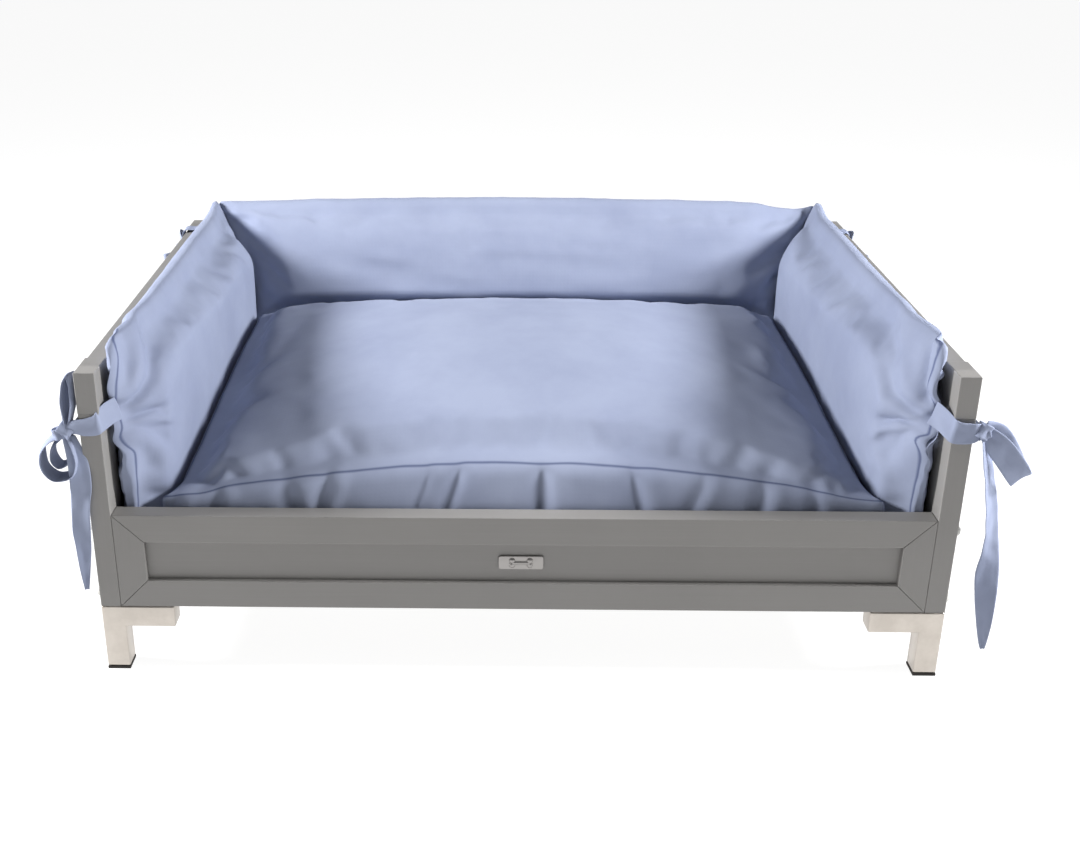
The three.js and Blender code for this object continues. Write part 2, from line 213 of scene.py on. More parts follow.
# ---- legs: welded square tube ----
# Each leg is a short upright and a flat arm of 25 mm stainless square tube, mitred, welded, ground flush and
# brushed, so its shine is soft and a little streaked. The tube's corners are rounded and its end is plated.
TUBE, TUBE_CORNER, ARM = 25 * MM, 1.6 * MM, 80 * MM
STEEL_TONES = "#b6afa7", "#c4bdb5"
BRUSH_MM = (55.6, 1.11)   # length and spacing of the brushed scratches, coarser than real so that they show
SMEAR_MM = 26.3           # handling marks

steel, tree, surface = new_material("brushed_stainless_steel")
place = node(tree, "TexCoord").outputs["Object"]
brushing = node(tree, "TexNoise", {
    "Vector": node(tree, "Mapping", {"Vector": place, "Scale": [
        per_metre(size) for size in (BRUSH_MM[0], BRUSH_MM[1], BRUSH_MM[1])]}).outputs["Vector"],
    "Scale": 1.0, "Detail": 3.0})
smear = node(tree, "TexNoise", {"Vector": place, "Scale": per_metre(SMEAR_MM), "Detail": 3.0, "Roughness": 0.6})
steel_rough = node(tree, "MapRange", {"Value": smear.outputs["Fac"], "From Min": 0.3, "From Max": 0.7,
                                      "To Min": 0.3, "To Max": 0.42})
steel_tone = node(tree, "ValToRGB", {"Fac": smear.outputs["Fac"]})
for stop, position, shade in zip(steel_tone.color_ramp.elements, (0.35, 0.65), STEEL_TONES):
    stop.position, stop.color = position, linear(shade)
steel_bump = node(tree, "Bump", {"Height": brushing.outputs["Fac"], "Strength": 0.12, "Distance": 0.2 * MM})
tree.links.new(node(tree, "BsdfPrincipled", {
    "Base Color": steel_tone.outputs["Color"], "Metallic": 1.0, "Roughness": steel_rough.outputs["Result"],
    "Normal": steel_bump.outputs["Normal"]}).outputs["BSDF"], surface)

for name in [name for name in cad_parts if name.endswith("_leg")]:
    low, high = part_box(name)
    out_x = high.x if high.x > 0 else low.x
    inwards = -1 if out_x > 0 else 1
    under = high.z - TUBE
    outline = [(0, low.z), (0, high.z), (ARM, high.z), (ARM, under), (TUBE, under), (TUBE, low.z)]
    mesh = bmesh.new()
    face = mesh.faces.new([mesh.verts.new((out_x + inwards * x, low.y, z)) for x, z in outline])
    raised = bmesh.ops.extrude_face_region(mesh, geom=[face])["geom"]
    bmesh.ops.translate(mesh, vec=(0, high.y - low.y, 0),
                        verts=[v for v in raised if isinstance(v, bmesh.types.BMVert)])
    bmesh.ops.recalc_face_normals(mesh, faces=mesh.faces)
    bmesh.ops.bevel(mesh, geom=mesh.edges[:], offset=TUBE_CORNER, segments=3, profile=0.5, affect="EDGES",
                    material=-1, clamp_overlap=True)
    leg = finished(name.replace("_leg", "_tube_leg"), mesh, steel, "frame")
    leg.data.set_sharp_from_angle(angle=math.radians(35))
    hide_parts(name)

# ---- foot plugs ----
# Moulded rubber plugs pushed into the open ends of the tubes. The rubber is black-brown, dull and faintly
# gritty, and its flange shows as a dark edge 4 mm high under each leg.
GRIT_MM = 1.1
rubber, tree, surface = new_material("moulded_rubber")
place = node(tree, "TexCoord").outputs["Object"]
grit = node(tree, "TexNoise", {"Vector": place, "Scale": per_metre(GRIT_MM), "Detail": 2.0})
tree.links.new(node(tree, "BsdfPrincipled", {
    "Base Color": linear("#2c2724"), "Roughness": 0.8,
    "Normal": node(tree, "Bump", {"Height": grit.outputs["Fac"], "Strength": 0.3,
                                  "Distance": 0.3 * MM}).outputs["Normal"]}).outputs["BSDF"], surface)
for name in [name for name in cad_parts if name.endswith("_foot_plug")]:
    paint(name, rubber)

# ---- corner bolts ----
# Connector bolts go through the posts into the ends of the front and back panels, each under a domed cap with a
# thin flange. The caps are moulded in polypropylene, light grey and semi-gloss, and scuffed a little dull.
CAP_RADIUS, CAP_FLANGE, CAP_DOME = 7.5 * MM, 1.2 * MM, 6 * MM
DOME_STEPS = 8
SCUFF_MM = 3.3

cap_plastic, tree, surface = new_material("polypropylene_cap")
place = node(tree, "TexCoord").outputs["Object"]
scuff = node(tree, "TexNoise", {"Vector": place, "Scale": per_metre(SCUFF_MM), "Detail": 3.0})
tree.links.new(node(tree, "BsdfPrincipled", {
    "Base Color": linear("#cfcec9"), "IOR": 1.49,
    "Roughness": node(tree, "MapRange", {"Value": scuff.outputs["Fac"], "To Min": 0.3,
                                         "To Max": 0.55}).outputs["Result"]}).outputs["BSDF"], surface)

for name in [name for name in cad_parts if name.endswith("_bolt")]:
    low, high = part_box(name)
    middle = (low + high) / 2
    way = 1 if middle.x > 0 else -1
    seat = (high.x if way > 0 else low.x) - way * CAP_DOME
    profile = [(0, 0), (CAP_RADIUS, 0), (CAP_RADIUS, CAP_FLANGE * 0.6), (CAP_RADIUS * 0.95, CAP_FLANGE)]
    for step in range(1, DOME_STEPS + 1):
        turn = step / DOME_STEPS * math.pi / 2
        profile.append((CAP_RADIUS * 0.9 * math.cos(turn),
                        CAP_FLANGE + (CAP_DOME - CAP_FLANGE) * math.sin(turn)))
    profile[-1] = (0, CAP_DOME)
    mesh = bmesh.new()
    line = [mesh.verts.new((seat + way * rise, middle.y, middle.z + radius)) for radius, rise in profile]
    edges = [mesh.edges.new(pair) for pair in zip(line, line[1:])]
    bmesh.ops.spin(mesh, geom=line + edges, cent=(seat, middle.y, middle.z), axis=(1, 0, 0),
                   angle=math.tau, steps=32, use_merge=True)
    bmesh.ops.remove_doubles(mesh, verts=mesh.verts, dist=1e-6)
    bmesh.ops.recalc_face_normals(mesh, faces=mesh.faces)
    cap = finished(name.replace("_bolt", "_bolt_cap"), mesh, cap_plastic, "frame")
    cap.data.set_sharp_from_angle(angle=math.radians(40))
    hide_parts(name)

# ---- mattress ----
# A box cushion of periwinkle cotton: two panels sewn to a 90 mm boxing strip, with the zip at the rear, filled
# proud with fibre over a foam core. It crowns in the middle, and the strip puckers against the front rail.
COTTON_DYES, THREAD_SHADOW = ("#868ea6", "#9199b0"), "#39456a"
DYE_MM = 143      # patches where the dye took unevenly
WEAVE_MM = 5      # spacing of the threads, far coarser than the real 0.8 mm, so that it shows
CREASE_MM = 55    # size of the soft creases
SIM_FRAMES, SEAM_DEPTH = 20, 1.2   # frames that the filling takes, and how deep in mm a seam sits
CELL_MM = 7       # side of a cell of the cloth mesh
FOOT = 121        # height of the platform under the cushions
SEWN_BELOW = 150  # height below which a cushion stays as it was sewn, boxed in by the frame
FRONT, REAR = -284, 205   # y of the mattress's faces
PUCKERS = [(-375, 9, 4), (-330, 7, 3), (-252, 10, 4), (-213, 7, 5), (-106, 6, 4), (-73, 8, 5), (22, 11, 7),
           (123, 9, 5), (190, 7, 3), (258, 8, 4), (314, 7, 3)]   # x, half width, depth


def cotton(name, creases=1.0):
    """Plain-woven cotton with a napped face, uneven dye, a pale sheen at a glancing angle and fine creases.
    The piece's UV map "cloth" is in metres, and painted seam shadow darkens it where "seam" nears 1."""
    material, tree, surface = new_material(name)
    cloth = node(tree, "UVMap", uv_map="cloth").outputs["UV"]
    place = node(tree, "TexCoord").outputs["Object"]
    dye = node(tree, "TexNoise", {"Vector": place, "Scale": per_metre(DYE_MM), "Detail": 5.0, "Roughness": 0.6})
    colour = node(tree, "ValToRGB", {"Fac": dye.outputs["Fac"]})
    for stop, position, shade in zip(colour.color_ramp.elements, (0.35, 0.65), COTTON_DYES):
        stop.position, stop.color = position, linear(shade)
    bands = per_metre(WEAVE_MM) * math.tau / 20   # a wave texture of scale 1 repeats every tau / 20
    threads = [node(tree, "TexWave", {"Vector": cloth, "Scale": bands, "Distortion": 0.6, "Detail": 1.0},
                    bands_direction=axis).outputs["Fac"] for axis in "XY"]
    weave = node(tree, "Math", {0: threads[0], 1: threads[1]}, operation="MULTIPLY")
    seam = node(tree, "Attribute", attribute_name="seam")
    # painted shade: the cloth is darkened towards THREAD_SHADOW where the seams sink
    seam_shadow = node(tree, "MapRange", {"Value": seam.outputs["Fac"], "From Min": 0.78, "From Max": 0.97})
    shade = node(tree, "Mix", {"Factor": node(tree, "Math", {0: seam_shadow.outputs["Result"], 1: 0.75},
                                              operation="MULTIPLY").outputs["Value"],
                               "A": colour.outputs["Color"], "B": linear(THREAD_SHADOW)}, data_type="RGBA")
    warp = node(tree, "TexNoise", {"Vector": cloth, "Scale": per_metre(3 * CREASE_MM), "Detail": 2.0})
    drawn = node(tree, "VectorMath", {0: cloth, 1: node(tree, "VectorMath", {
        0: warp.outputs["Color"], "Scale": 0.07}, operation="SCALE").outputs["Vector"]}, operation="ADD")
    folds = node(tree, "TexNoise", {
        "Vector": drawn.outputs["Vector"], "Scale": per_metre(CREASE_MM), "Detail": 4.0,
        "Roughness": 0.5}, noise_type="RIDGED_MULTIFRACTAL")
    crease = node(tree, "Bump", {"Height": folds.outputs["Fac"], "Strength": creases, "Distance": 3 * MM})
    bump = node(tree, "Bump", {"Height": weave.outputs["Value"], "Strength": 0.25, "Distance": 0.12 * MM,
                               "Normal": crease.outputs["Normal"]})
    tree.links.new(node(tree, "BsdfPrincipled", {
        "Base Color": shade.outputs["Result"], "Roughness": 0.82, "Specular IOR Level": 0.25,
        "Sheen Weight": 0.12, "Sheen Roughness": 0.35, "Sheen Tint": linear("#dfe6ff"),
        "Normal": bump.outputs["Normal"]}).outputs["BSDF"], surface)
    return material


cushion_cotton = cotton("periwinkle_cotton")


def mix(a, b, t):
    """The value a share t of the way from a to b."""
    return a + (b - a) * t


def ease(t):
    """A share from 0 to 1 that starts and ends gently."""
    t = min(1, max(0, t))
    return t * t * (3 - 2 * t)


def seam_x(y):
    """Half the width left free between the side bolsters at a depth y, in mm."""
    return 356 + 0.047 * (260 - y) + 16 * (max(0, (-230 - y) / 60)) ** 2


def box_grid(size, cell, place, seams):
    """A closed box of square cells, size in mm, each point moved to place(u, v, w), u, v and w from 0 to 1.
    seams(u, v, w) is 1 where a seam sinks deepest and gets painted shadow, and less where a sewn edge rolls
    over it."""
    mesh = bmesh.new()
    bmesh.ops.create_cube(mesh, size=1, matrix=Matrix.Translation((0.5, 0.5, 0.5)))
    for axis in range(3):
        along = [e for e in mesh.edges if abs(e.verts[0].co[axis] - e.verts[1].co[axis]) > 0.5]
        bmesh.ops.subdivide_edges(mesh, edges=along, cuts=round(size[axis] / cell) - 1, use_grid_fill=True)
    cloth = mesh.loops.layers.uv.new("cloth")
    seam = mesh.verts.layers.float.new("seam")
    mesh.normal_update()
    for face in mesh.faces:
        flat = max(range(3), key=lambda axis: abs(face.normal[axis]))
        across, up = [axis for axis in range(3) if axis != flat]
        for loop in face.loops:
            loop[cloth].uv = (loop.vert.co[across] * size[across] * MM + flat,
                              loop.vert.co[up] * size[up] * MM)
    for vert in mesh.verts:
        vert[seam] = seams(*vert.co)
        vert.co = Vector(place(*vert.co)) * MM
    return mesh


def filled(name, mesh, pressure, cap, sink, slack, gather, held, keep):
    """Fills a sewn cover: the cloth is blown up a little, its seams draw in by the share gather and its panels
    have slack to spare. Points where held is true stay. No point moves more than cap mm, or more than sink mm
    inwards, and keep(point in mm) holds it clear of its neighbours."""
    data = bpy.data.meshes.new(name)
    mesh.to_mesh(data)
    mesh.free()
    cushion = bpy.data.objects.new(name, data)
    bpy.context.scene.collection.objects.link(cushion)
    start = [v.co.copy() for v in data.vertices]
    sewn = [item.value for item in data.attributes["seam"].data]
    still, drawn = cushion.vertex_groups.new(name="still"), cushion.vertex_groups.new(name="drawn")
    for i, point in enumerate(start):
        if held(*(point / MM)):
            still.add([i], 1, "REPLACE")
        drawn.add([i], sewn[i], "REPLACE")
    cloth = cushion.modifiers.new("cover", "CLOTH")
    cloth.settings.quality = 5
    cloth.settings.mass = 0.3
    cloth.settings.tension_stiffness = cloth.settings.compression_stiffness = 15
    cloth.settings.bending_stiffness = 0.4
    cloth.settings.use_pressure = True
    cloth.settings.uniform_pressure_force = pressure
    cloth.settings.vertex_group_mass = "still"
    cloth.settings.vertex_group_shrink = "drawn"
    cloth.settings.shrink_min, cloth.settings.shrink_max = -slack, gather
    cloth.settings.effector_weights.gravity = 0
    cloth.collision_settings.use_collision = cloth.collision_settings.use_self_collision = False
    for step in range(1, SIM_FRAMES + 1):
        bpy.context.scene.frame_set(step)
    posed = cushion.evaluated_get(bpy.context.evaluated_depsgraph_get()).data
    moved = [v.co - start[i] for i, v in enumerate(posed.vertices)]
    cushion.modifiers.clear()
    outwards = [v.normal.copy() for v in data.vertices]
    for vert, shift, out in zip(data.vertices, moved, outwards):
        shift *= min(1, cap * MM / max(shift.length, 1e-9))
        vert.co += shift + out * max(0, -sink * MM - shift.dot(out))
    normals = [v.normal.copy() for v in data.vertices]
    for i, vert in enumerate(data.vertices):
        point = vert.co - normals[i] * sewn[i] * SEAM_DEPTH * MM
        vert.co = Vector(keep(*(point / MM))) * MM
    data.materials.append(cushion_cotton)
    data.shade_smooth()
    finer = cushion.modifiers.new("finer", "SUBSURF")
    finer.levels = finer.render_levels = 1
    return cushion


def mattress_place(u, v, w):
    """Its edges rise to the rear, its middle crowns, and its strip leans back and puckers above the rail."""
    across = 1 - abs(2 * u - 1) ** 2.1
    edge = 198 + 47 * math.sin(v * math.pi / 2) ** 1.5
    middle = 232 + 58 * math.sin(min(1, v / 0.65) * math.pi / 2) ** 0.8 - 14 * max(0, (v - 0.65) / 0.35) ** 2
    z = mix(FOOT, mix(edge, middle, across), w)
    lean = max(0, (z - 186) / 45) * across
    y = mix(FRONT + 16 * lean, REAR - 6 * lean, v)
    x = (2 * u - 1) * (seam_x(y) - 3)
    front = ease(1 - v / 0.06) * ease((z - 170) / 20) * (1 if w < 1 else 0.3)
    for centre, half, deep in PUCKERS:
        slant = centre + (z - 205) * 0.5 * math.sin(centre)
        y += front * 0.8 * deep * math.exp(-((x - slant) / half) ** 2)
        y -= front * 0.4 * deep * math.exp(-((x - slant - 1.8 * half) / half) ** 2)
    rumple = noise.noise((x / 60, y / 60, 3)) * 1.2 + noise.noise((x / 24, y / 30, 8)) * 0.5
    return x, y, z + rumple * w


def mattress_seams(u, v, w):
    """Round the top and the bottom panel."""
    return 1.0 if min(w, 1 - w) < 0.001 and min(u, v, 1 - u, 1 - v) < 0.001 else 0.0


mattress = filled(
    "mattress_cushion",
    box_grid((760, 490, 110), CELL_MM, mattress_place, mattress_seams),
    pressure=2.5, cap=16, sink=1, slack=0.015, gather=0.03,
    held=lambda x, y, z: z < SEWN_BELOW,
    keep=lambda x, y, z: (
        max(-seam_x(y) + 3.5, min(seam_x(y) - 3.5, x)), max(FRONT - 1.2, min(REAR - 1, y)), max(FOOT - 0.5, z)))
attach(mattress, "mattress")
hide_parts("mattress_cover")

# ---- side bolsters ----
# Upright boxed cushions against the side rails, fibre filled, with a narrow boxing strip round the end and top.
# The tie sewn into the front end draws the cover into creases, and the rear end is mitred to the back bolster.
OUTER, TOP, OUTER_TOP = 431, 390, 356   # outer face, and the heights of the inner and the outer top seam
END = -286                              # y of the front end
MITRE_X, MITRE_Y, MITRE = 358, 208, 77.5 / 72.5   # where the mitre starts, and how steeply it runs outwards
ROOT = (424, END, 303)                  # where the tie is sewn in, on the right-hand side
RAIL_TOP = 192                          # the front rail holds the end back up to this height
BOARDED_BELOW = 335                     # the outer face lies flat on the side boards up to this height


def bolster_depth(t):
    """Share of a bolster's full thickness at a height t, from 0 at its bottom to 1 at its top seam."""
    return mix(0.85, 1, ease(t / 0.4)) if t < 0.4 else 1 - 0.76 * ((t - 0.4) / 0.6) ** 2


def side_bolster_place(u, v, w, salt):
    """Thick low down, thin at the top seam, rounded off at the front end and creased round the tie's root."""
    rough = mix(END, MITRE_Y, v)
    end = max(0, 1 - (rough - END) / 52)
    thick = (OUTER - 3 - seam_x(rough)) * (1 - 0.45 * end ** 2.4)
    z = mix(FOOT, mix(TOP - 5 * ease(end) + 4 * ease((v - 0.9) / 0.1), OUTER_TOP, u ** 1.5), w)
    x = OUTER - thick * bolster_depth(w) * (1 - u)
    y = mix(END - 3 * ease((z - 195) / 40), MITRE_Y + MITRE * (x - MITRE_X) + 4, v)
    away = Vector((0, y - ROOT[1], z - ROOT[2]))
    turn = math.atan2(away.z, away.y + 12)
    fold = math.cos(10 * turn + 1.3 + salt) + 0.5 * math.cos(17 * turn - salt)
    x += (1 - u) * math.exp(-away.length / 75) * 8 * fold * (1 - math.exp(-away.length / 22))
    x = min(OUTER - 4, x + (1 - u) * 16 * math.exp(-(away.z / 24) ** 2 - away.y / 16))
    rumple = noise.noise((y / 70, z / 45, 5 + salt)) * 2.2 + noise.noise((y / 30, z / 22, 9 + salt)) * 0.8
    return x + rumple * (1 - u), y, z


def side_seams(u, v, w):
    """The inner and the outer panel meet the strip all round."""
    if min(u, 1 - u) > 0.001 or min(v, w, 1 - v, 1 - w) > 0.001:
        return 0.0
    return 1.0 if v < 0.06 else 0.6


for side, way in (("left", -1), ("right", 1)):
    bolster = filled(
        side + "_bolster_cushion",
        box_grid((66, 500, 268), 6.5, lambda u, v, w: side_bolster_place(u, v, w, way), side_seams),
        pressure=3, cap=24, sink=2, slack=0.02, gather=0.04,
        held=lambda x, y, z: x > OUTER - 2 and z < BOARDED_BELOW or z < SEWN_BELOW,
        keep=lambda x, y, z: (
            min(OUTER + 1.5, max(x, seam_x(y) + min(0, x - seam_x(y)) * 0.2)),
            max(END + 0.6 if z < RAIL_TOP else END - 14, min(MITRE_Y + MITRE * (x - MITRE_X) - 0.6, y)),
            max(FOOT - 0.5, z)))
    if way < 0:
        left = bmesh.new()
        left.from_mesh(bolster.data)
        bmesh.ops.scale(left, vec=(-1, 1, 1), verts=left.verts)
        bmesh.ops.reverse_faces(left, faces=left.faces)
        left.to_mesh(bolster.data)
        left.free()
    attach(bolster, "frame")
    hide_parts(side + "_bolster")

# ---- back bolster ----
# A long boxed cushion of the same make, standing against the back panel between the two side bolsters. Its top
# edge rises in the middle. The mattress holds its front face back, and above that it bulges over the mattress.
BACK = 285   # y of its rear face


def back_bolster_place(u, v, w):
    """Crowned along the top, with one low spot near its right-hand end, and mitred to the side bolsters."""
    x_share = 2 * u - 1
    crown = TOP + 12 * (1 - abs(x_share + 0.05) ** 2.2) - 8 * math.exp(-((x_share - 0.9) / 0.09) ** 2)
    thick = 77 + 4 * (1 - x_share ** 2)
    y = BACK - thick * bolster_depth(w) * (1 - v)
    z = mix(FOOT, mix(crown, OUTER_TOP, v ** 1.5), w)
    half = min(OUTER - 1, MITRE_X + (y - MITRE_Y) / MITRE) + 4
    x = x_share * half
    y += (noise.noise((x / 120, z / 24, 15)) * 3 + noise.noise((x / 60, z / 14, 19)) * 1.2) * (1 - v)
    return x, y, z


def mattress_side(z):
    """How far forward the bolster's face may come at a height z: behind the mattress, then free above it."""
    return MITRE_Y - 26 * ease((z - 245) / 50)


def back_seams(u, v, w):
    """Round the front and the rear panel, rolled over by the filling."""
    return 0.6 if min(v, 1 - v) < 0.001 and min(u, w, 1 - u, 1 - w) < 0.001 else 0.0


back_bolster = filled(
    "back_bolster_cushion",
    box_grid((790, 80, 272), CELL_MM, back_bolster_place, back_seams),
    pressure=3, cap=24, sink=2, slack=0.02, gather=0.03,
    held=lambda x, y, z: y > BACK - 1 and z < BOARDED_BELOW or z < SEWN_BELOW,
    keep=lambda x, y, z: (
        max(-MITRE_X - (y - MITRE_Y) / MITRE + 0.6, min(MITRE_X + (y - MITRE_Y) / MITRE - 0.6, x)),
        min(BACK + 0.5, max(y, mattress_side(z) + min(0, y - mattress_side(z)) * 0.1)), max(FOOT - 0.5, z)))
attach(back_bolster, "frame")
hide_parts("back_bolster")

# ---- ties ----
# Straps of the same cotton, folded double and sewn along one edge, 24 mm wide and cut to a point. Each pair is
# sewn into a bolster's end, passes both sides of a post or over the side rail, and is tied in a bow outside.
TIE_WIDE, TIE_THICK = 24, 1.8
tie_cotton = cotton("periwinkle_tie_cotton", creases=0.5)


def strap(mesh, stations, salt):
    """Adds a closed strap through stations (centre, way across, half width), in mm, faired between them."""
    cloth = mesh.loops.layers.uv["cloth"]
    cells, spans = 6, 7   # cells across the strap, and rings from one station to the next
    flat = [(Vector(centre), Vector(way).normalized() * half) for centre, way, half in stations]
    flat = [flat[0], *flat, flat[-1]]
    line = []
    for i in range(1, len(flat) - 2):
        for step in range(spans if i < len(flat) - 3 else spans + 1):
            t = step / spans
            weights = ((-t + 2 * t * t - t ** 3) / 2, (2 - 5 * t * t + 3 * t ** 3) / 2,
                       (t + 4 * t * t - 3 * t ** 3) / 2, (t ** 3 - t * t) / 2)
            line.append(tuple(sum((flat[i - 1 + k][part] * weights[k] for k in range(4)), Vector())
                              for part in (0, 1)))
    rings, lengths = [], [0]
    for i, (centre, across) in enumerate(line):
        run = line[min(i + 1, len(line) - 1)][0] - line[max(i - 1, 0)][0]
        lengths.append(lengths[-1] + run.length / 2)
        up = run.cross(across).normalized()
        ring = []
        for face, order in ((1, range(cells + 1)), (-1, range(cells, -1, -1))):
            for k in order:
                share = 2 * k / cells - 1
                wave = 1.3 * noise.noise((lengths[-1] / 16, share * 1.4 + salt, salt)) + 1.4 * share * share
                edge = TIE_THICK / 2 * (1 - 0.5 * abs(share) ** 6)
                ring.append(mesh.verts.new((centre + across * share + up * (wave + face * edge)) * MM))
        rings.append(ring)
    size = len(rings[0])
    around = [abs(k - cells) if k <= cells else k - cells - 1 for k in range(size)]
    for i, (near, far) in enumerate(zip(rings, rings[1:])):
        for k in range(size):
            after = (k + 1) % size
            face = mesh.faces.new((near[k], near[after], far[after], far[k]))
            for loop, (a, b) in zip(face.loops, ((k, i), (after, i), (after, i + 1), (k, i + 1))):
                loop[cloth].uv = (around[a] * TIE_WIDE / cells * MM, lengths[b] * MM)
    for ring, flip in ((rings[0], 1), (rings[-1], -1)):
        for k in range(cells):
            mesh.faces.new((ring[k], ring[k + 1], ring[size - 2 - k], ring[size - 1 - k])[::-flip])


def turns(centre, axis, radius, half, start, sweep):
    """Stations of a strap wound about an axis, for a knot, from an angle start through sweep degrees."""
    axis = Vector(axis).normalized()
    first = axis.orthogonal().normalized()
    stations = []
    for step in range(9):
        arm = Matrix.Rotation(math.radians(start + sweep * step / 8), 3, axis) @ first
        stations.append((Vector(centre) + arm * radius * (1 + 0.12 * math.sin(step * 2.1)), axis, half))
    return stations


UP, OUT, IN_DEPTH = (0, 0, 1), (1, 0, 0), (0, 1, 0)
ABOUT_POST = [   # from the knot round the post's outer face, through the slot and back to the bolster
    ((465, -305, 291), UP, 6), ((460.5, -292, 291), UP, 10), ((459.6, -272, 291), UP, 11),
    ((456, -257, 291), UP, 11), ((446, -253.5, 291), UP, 11), ((436, -258, 292), UP, 11),
    ((433.6, -270, 294), UP, 11), ((431, -281, 299), UP, 11), ((426, -286, 303), UP, 11)]
ABOUT_RAIL = [   # once round the side rail and back to the knot
    ((460.5, 250, 326), IN_DEPTH, 9), ((459.6, 250, 345), IN_DEPTH, 11), ((456, 250, 353.6), IN_DEPTH, 11),
    ((446, 250, 354), IN_DEPTH, 11), ((436.5, 250, 353), IN_DEPTH, 11), ((433.6, 250, 340), IN_DEPTH, 11),
    ((433.6, 250, 318), IN_DEPTH, 11), ((436, 250, 305), IN_DEPTH, 11), ((446, 250, 303.8), IN_DEPTH, 11),
    ((457, 250, 305), IN_DEPTH, 11), ((460.2, 250, 315), IN_DEPTH, 9), ((461, 250, 324), IN_DEPTH, 8)]
RIGHT_BAND = [
    ((421, -286, 305), (0.3, 0, 0.95), 13), ((428, -297, 301), (0.28, -0.05, 0.95), 12.5),
    ((434.2, -306.5, 296), (0.2, 0, 1), 12.5), ((436.5, -310.4, 294), (0.12, 0, 1), 12.5),
    ((442, -311, 292.5), (0.05, 0, 1), 12), ((452, -311, 292), (-0.08, 0, 1), 11.5),
    ((459, -310.8, 293), (-0.15, 0, 1), 10), ((466, -307, 295), (-0.2, 0, 1), 7)]
RIGHT_LOOP = [
    ((467, -306, 295), (0.75, 0, 0.66), 6), ((480, -308, 281), (0.75, 0, 0.66), 12),
    ((496, -306, 263), (0.75, 0, 0.66), 13.5), ((509, -303, 246), (0.78, 0, 0.62), 13.5),
    ((517, -297, 235), (0.8, 0, 0.6), 12.5), ((516, -289, 239), (0.8, 0, 0.6), 12.5),
    ((503, -288, 263), (0.78, 0.05, 0.64), 13), ((487, -292, 284), (0.75, 0, 0.66), 12),
    ((470, -300, 297), (0.75, 0, 0.66), 6)]
RIGHT_TAIL = [
    ((469, -306, 288), (0.7, 0.7, 0), 7), ((473, -307, 268), (0.65, 0.75, 0.05), 9.5),
    ((481, -305, 238), (0.7, 0.7, 0.05), 11), ((488, -303, 207), (0.75, 0.65, 0), 11),
    ((494, -301, 176), (0.85, 0.5, 0), 10.5), ((497, -299, 150), (0.92, 0.35, 0), 11.5),
    ((498, -299, 124), (1, 0.1, 0), 13.5), ((501, -299, 95), (1, -0.15, 0), 11.5),
    ((504, -299, 66), (0.95, -0.3, 0), 8.5), ((506, -299, 42), (0.9, -0.3, 0), 5),
    ((507, -299, 30), OUT, 2.5)]
LEFT_BAND = [
    ((-420, -286, 305), (-0.25, 0, 0.97), 13), ((-428, -297, 303), (-0.3, -0.05, 0.95), 12.5),
    ((-434.2, -306.5, 299), (-0.2, 0, 1), 12.5), ((-436.5, -310.4, 297), (-0.15, 0, 1), 12),
    ((-442, -311, 294), (-0.08, 0, 1), 11), ((-453, -311, 292.5), (0.05, 0, 1), 9.5),
    ((-462, -311, 293), UP, 8), ((-472, -309, 290), (0.3, 0, 1), 7), ((-484, -307, 284), (0.45, 0, 0.9), 6)]
LEFT_LOOP = [
    ((-473, -305, 284), (0.2, 1, 0.2), 6), ((-490, -305, 279), (0.1, 1, 0.2), 10),
    ((-501, -305, 264), (0.05, 1, 0.15), 11.5), ((-500, -305, 245), (0, 1, 0.1), 12),
    ((-487, -305, 233), (0, 1, 0.05), 12), ((-470, -305, 238), (-0.05, 1, 0.1), 11.5),
    ((-463, -306, 254), (-0.05, 1, 0.15), 11), ((-465, -306, 270), (0, 1, 0.2), 9),
    ((-470, -305, 284), (0.1, 1, 0.2), 6)]
LEFT_RISING_LOOP = [
    ((-467, -304, 292), (0.1, 1, 0), 6), ((-461.8, -301, 316), (0.1, 1, -0.05), 9),
    ((-461.2, -297, 336), (0.15, 1, 0), 10), ((-465, -295, 347), (0.25, 1, 0), 10),
    ((-470, -297, 336), (0.35, 1, 0), 10), ((-472, -301, 313), (0.4, 1, 0), 9),
    ((-472, -305, 292), (0.2, 1, 0), 6)]
LEFT_CURL = [   # the loose end of the left bow, rolled up inside its loop
    ((-474, -301, 284), (0.1, 1, 0.3), 5), ((-488, -300, 271), (0.1, 1, 0.3), 8.5),
    ((-492, -300, 256), (0.1, 1, 0.2), 9.5), ((-485, -300, 245), (0, 1, 0.1), 9.5),
    ((-475, -301, 249), (-0.1, 1, 0.1), 9), ((-473, -302, 261), (-0.1, 1, 0.2), 8)]
LEFT_TAIL = [
    ((-470, -307, 282), (0.8, 0.5, 0), 7), ((-463, -309, 255), (0.95, 0.2, 0), 10.5),
    ((-462, -310, 228), OUT, 11.5), ((-465, -310, 202), (1, -0.1, 0), 10.5),
    ((-467, -310, 175), OUT, 10), ((-468, -309, 150), (0.95, 0.2, 0), 8),
    ((-470, -307, 124), (0.9, 0.3, 0), 5.5), ((-471, -305, 99), OUT, 2.5)]


